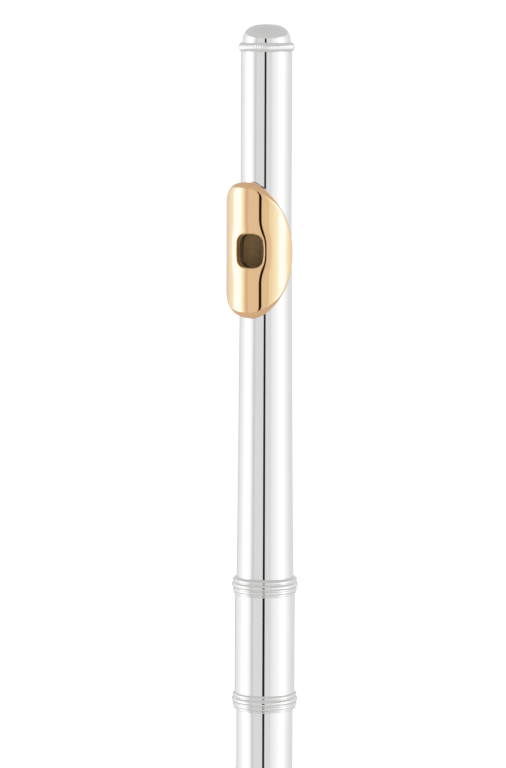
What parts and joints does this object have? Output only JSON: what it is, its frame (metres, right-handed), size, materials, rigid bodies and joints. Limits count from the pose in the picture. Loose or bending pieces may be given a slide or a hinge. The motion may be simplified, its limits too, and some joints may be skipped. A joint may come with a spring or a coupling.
{
  "type": "concert flute",
  "caption": "Closed-hole concert flute in C with a silver tube, a gold lip plate, Boehm keywork and a C foot joint.",
  "frame": {"origin": "centre of the foot joint's open end, on the bore's axis", "axes": "+Z along the bore towards the crown; -Y is the way the embouchure hole and the main keys face; -X is the player's side and +X the audience's side"},
  "size_m": [0.0399, 0.0427, 0.6701],
  "materials": {
    "silver": "polished silver plate",
    "key_silver": "polished silver plate",
    "gold": "polished pale gold plate",
    "hinge_steel": "ground steel",
    "spring_wire": "drawn spring wire",
    "roller_metal": "polished silver plate",
    "pad_skin": "fine membrane over felt",
    "cork": "natural cork"
  },
  "bodies": {
    "foot": {"foot_tube": "silver", "foot_socket": "silver", "foot_rings": "silver", "foot_rib": "silver", "foot_posts": "silver", "foot_steel": "hinge_steel", "foot_springs": "spring_wire"},
    "body": {"body_tube": "silver", "barrel": "silver", "barrel_rings": "silver", "main_rib": "silver", "back_ribs": "silver", "body_posts": "silver", "body_steels": "hinge_steel", "body_springs": "spring_wire"},
    "head": {"head_tube": "silver", "riser": "gold", "lip_plate": "gold"},
    "crown": {"crown": "silver", "crown_ring": "silver"},
    "stopper": {"stopper_rod": "silver", "stopper_cork": "cork", "stopper_reflector": "silver", "stopper_nut": "silver"},
    "low_d": {"low_d_key": "key_silver", "low_d_pad": "pad_skin"},
    "low_e": {"low_e_key": "key_silver", "low_e_pad": "pad_skin"},
    "low_f": {"low_f_key": "key_silver", "low_f_pad": "pad_skin"},
    "f_sharp": {"f_sharp_key": "key_silver", "f_sharp_pad": "pad_skin"},
    "g": {"g_key": "key_silver", "g_pads": "pad_skin"},
    "g_sharp": {"g_sharp_key": "key_silver", "g_sharp_pad": "pad_skin"},
    "a": {"a_key": "key_silver", "a_pad": "pad_skin"},
    "b_flat": {"b_flat_key": "key_silver", "b_flat_pad": "pad_skin"},
    "upper_c": {"c_key": "key_silver", "c_key_pad": "pad_skin"},
    "thumb_b": {"thumb_b_key": "key_silver", "thumb_b_pad": "pad_skin"},
    "thumb_b_flat": {"thumb_b_flat_lever": "key_silver"},
    "trill_d": {"trill_d_key": "key_silver", "trill_d_pad": "pad_skin"},
    "trill_d_sharp": {"trill_d_sharp_key": "key_silver", "trill_d_sharp_pad": "pad_skin"},
    "foot_d_sharp": {"foot_d_sharp_key": "key_silver", "foot_d_sharp_pad": "pad_skin"},
    "foot_c_sharp": {"foot_c_sharp_key": "key_silver", "foot_c_sharp_pad": "pad_skin"},
    "foot_c": {"foot_c_key": "key_silver", "foot_c_pad": "pad_skin"},
    "c_sharp_roller": {"c_sharp_roller": "roller_metal"},
    "c_roller": {"c_roller": "roller_metal"}
  },
  "joints": [
    {"name": "body_turn", "type": "hinge", "parent": "foot", "child": "body", "pos_m": [0, 0, 0.122], "axis": [0, 0, 1], "range_deg": [-30, 30]},
    {"name": "tuning_slide", "type": "slide", "parent": "body", "child": "head", "axis": [0, 0, 1], "range_m": [-0.0028, 0.034]},
    {"name": "crown_turn", "type": "hinge", "parent": "head", "child": "crown", "pos_m": [0, 0, 0.6607], "axis": [0, 0, 1], "range_deg": [-720, 720]},
    {"name": "stopper_slide", "type": "slide", "parent": "head", "child": "stopper", "axis": [0, 0, 1], "range_m": [-0.0015, 0.0015]},
    {"name": "low_d_press", "type": "hinge", "parent": "body", "child": "low_d", "pos_m": [-0.0132, -0.0123, 0.1418], "axis": [0, 0, 1], "range_deg": [0, 10.4], "stiffness_Nm_per_rad": 0.01, "springref_deg": -22.92},
    {"name": "low_e_press", "type": "hinge", "parent": "body", "child": "low_e", "pos_m": [-0.0132, -0.0123, 0.1599], "axis": [0, 0, 1], "range_deg": [0, 10.4], "stiffness_Nm_per_rad": 0.01, "springref_deg": -22.92},
    {"name": "low_f_press", "type": "hinge", "parent": "body", "child": "low_f", "pos_m": [-0.0132, -0.0123, 0.1906], "axis": [0, 0, 1], "range_deg": [0, 10.4], "stiffness_Nm_per_rad": 0.01, "springref_deg": -22.92},
    {"name": "f_sharp_press", "type": "hinge", "parent": "body", "child": "f_sharp", "pos_m": [-0.0132, -0.0123, 0.2178], "axis": [0, 0, 1], "range_deg": [0, 10.4], "stiffness_Nm_per_rad": 0.01, "springref_deg": -22.92},
    {"name": "g_press", "type": "hinge", "parent": "body", "child": "g", "pos_m": [-0.0132, -0.0123, 0.2562], "axis": [0, 0, 1], "range_deg": [0, 10.4], "stiffness_Nm_per_rad": 0.01, "springref_deg": -22.92},
    {"name": "g_sharp_press", "type": "hinge", "parent": "body", "child": "g_sharp", "pos_m": [0.01797, 0.00157, 0.25], "axis": [0, 0, -1], "range_deg": [0, 9], "stiffness_Nm_per_rad": 0.01, "springref_deg": -22.92},
    {"name": "a_press", "type": "hinge", "parent": "body", "child": "a", "pos_m": [-0.0132, -0.0123, 0.2887], "axis": [0, 0, 1], "range_deg": [0, 10.4], "stiffness_Nm_per_rad": 0.01, "springref_deg": -22.92},
    {"name": "b_flat_press", "type": "hinge", "parent": "body", "child": "b_flat", "pos_m": [-0.0132, -0.0123, 0.3096], "axis": [0, 0, 1], "range_deg": [0, 10.4], "stiffness_Nm_per_rad": 0.01, "springref_deg": -22.92},
    {"name": "upper_c_press", "type": "hinge", "parent": "body", "child": "upper_c", "pos_m": [-0.0132, -0.0123, 0.344], "axis": [0, 0, 1], "range_deg": [0, 10.4], "stiffness_Nm_per_rad": 0.01, "springref_deg": -22.92},
    {"name": "thumb_b_press", "type": "hinge", "parent": "body", "child": "thumb_b", "pos_m": [-0.01661, 0.00704, 0.3239], "axis": [0, 0, -1], "range_deg": [0, 10.4], "stiffness_Nm_per_rad": 0.01, "springref_deg": -22.92},
    {"name": "thumb_b_flat_press", "type": "hinge", "parent": "body", "child": "thumb_b_flat", "pos_m": [-0.01661, 0.00704, 0.2945], "axis": [0, 0, -1], "range_deg": [0, 10.4], "stiffness_Nm_per_rad": 0.01, "springref_deg": -22.92},
    {"name": "trill_d_press", "type": "hinge", "parent": "body", "child": "trill_d", "pos_m": [-0.01673, -0.00609, 0.2785], "axis": [0, 0, 1], "range_deg": [0, 10], "stiffness_Nm_per_rad": 0.01, "springref_deg": -22.92},
    {"name": "trill_d_sharp_press", "type": "hinge", "parent": "body", "child": "trill_d_sharp", "pos_m": [-0.01673, -0.00609, 0.2725], "axis": [0, 0, 1], "range_deg": [0, 10], "stiffness_Nm_per_rad": 0.01, "springref_deg": -22.92},
    {"name": "foot_d_sharp_press", "type": "hinge", "parent": "foot", "child": "foot_d_sharp", "pos_m": [-0.0022, -0.01791, 0.102], "axis": [0, 0, -1], "range_deg": [0, 9], "stiffness_Nm_per_rad": 0.01, "springref_deg": -22.92},
    {"name": "foot_c_sharp_press", "type": "hinge", "parent": "foot", "child": "foot_c_sharp", "pos_m": [-0.0022, -0.01791, 0.076], "axis": [0, 0, 1], "range_deg": [0, 10.4], "stiffness_Nm_per_rad": 0.01, "springref_deg": -22.92},
    {"name": "foot_c_press", "type": "hinge", "parent": "foot", "child": "foot_c", "pos_m": [-0.0022, -0.01791, 0.044], "axis": [0, 0, 1], "range_deg": [0, 10.4], "stiffness_Nm_per_rad": 0.01, "springref_deg": -22.92},
    {"name": "c_sharp_roller_spin", "type": "hinge", "parent": "foot_c_sharp", "child": "c_sharp_roller", "pos_m": [0.01014, -0.01678, 0.0875], "axis": [0, 0, 1], "continuous": true},
    {"name": "c_roller_spin", "type": "hinge", "parent": "foot_c", "child": "c_roller", "pos_m": [0.01354, -0.01486, 0.0884], "axis": [0, 0, 1], "continuous": true}
  ],
  "couplings": [
    {"joint": "crown_turn", "follows": "stopper_slide", "rad_per_m": 8377.6},
    {"joint": "b_flat_press", "follows": "a_press", "ratio": 1},
    {"joint": "f_sharp_press", "follows": "low_f_press", "ratio": 1},
    {"joint": "thumb_b_press", "follows": "thumb_b_flat_press", "ratio": 1},
    {"joint": "foot_c_sharp_press", "follows": "foot_c_press", "ratio": 1}
  ]
}
